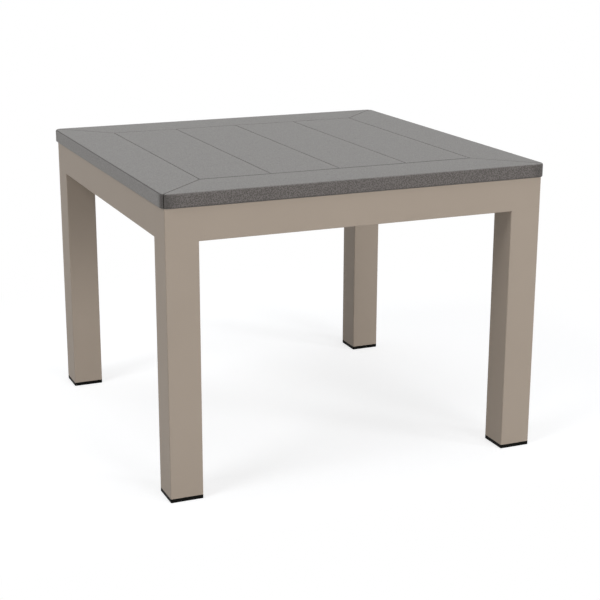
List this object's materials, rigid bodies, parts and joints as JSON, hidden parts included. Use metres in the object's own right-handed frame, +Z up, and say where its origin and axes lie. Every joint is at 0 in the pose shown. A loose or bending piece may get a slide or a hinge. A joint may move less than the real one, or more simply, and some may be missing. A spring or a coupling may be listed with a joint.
{
  "type": "outdoor side table",
  "caption": "Low square outdoor side table with a slatted polymer-lumber top in a mitred border, on a powder-coated square-tube aluminium frame with push-in feet.",
  "frame": {"origin": "on the floor under the middle of the table", "axes": "+Z up, +X to the right, -Y towards the front; the slats run along Y"},
  "size_m": [0.61, 0.61, 0.457],
  "materials": {
    "frame_powder_coat": "matte",
    "top_lumber": "matte",
    "foot_polyethylene": "satin",
    "screw_stainless": "satin"
  },
  "bodies": {
    "root": {"apron_back": "frame_powder_coat", "apron_front": "frame_powder_coat", "apron_left": "frame_powder_coat", "apron_right": "frame_powder_coat", "border_board_back": "top_lumber", "border_board_front": "top_lumber", "border_board_left": "top_lumber", "border_board_right": "top_lumber", "border_screws_front_back": "screw_stainless", "border_screws_sides": "screw_stainless", "corner_welds": "frame_powder_coat", "cross_channel_back": "frame_powder_coat", "cross_channel_front": "frame_powder_coat", "cross_channel_middle": "frame_powder_coat", "foot_cap_back_left": "foot_polyethylene", "foot_cap_back_right": "foot_polyethylene", "foot_cap_front_left": "foot_polyethylene", "foot_cap_front_right": "foot_polyethylene", "leg_back_left": "frame_powder_coat", "leg_back_right": "frame_powder_coat", "leg_front_left": "frame_powder_coat", "leg_front_right": "frame_powder_coat", "mitre_spline_back_left": "top_lumber", "mitre_spline_back_right": "top_lumber", "mitre_spline_front_left": "top_lumber", "mitre_spline_front_right": "top_lumber", "slat_1": "top_lumber", "slat_2": "top_lumber", "slat_3": "top_lumber", "slat_4": "top_lumber", "slat_screws": "screw_stainless"}
  },
  "joints": []
}
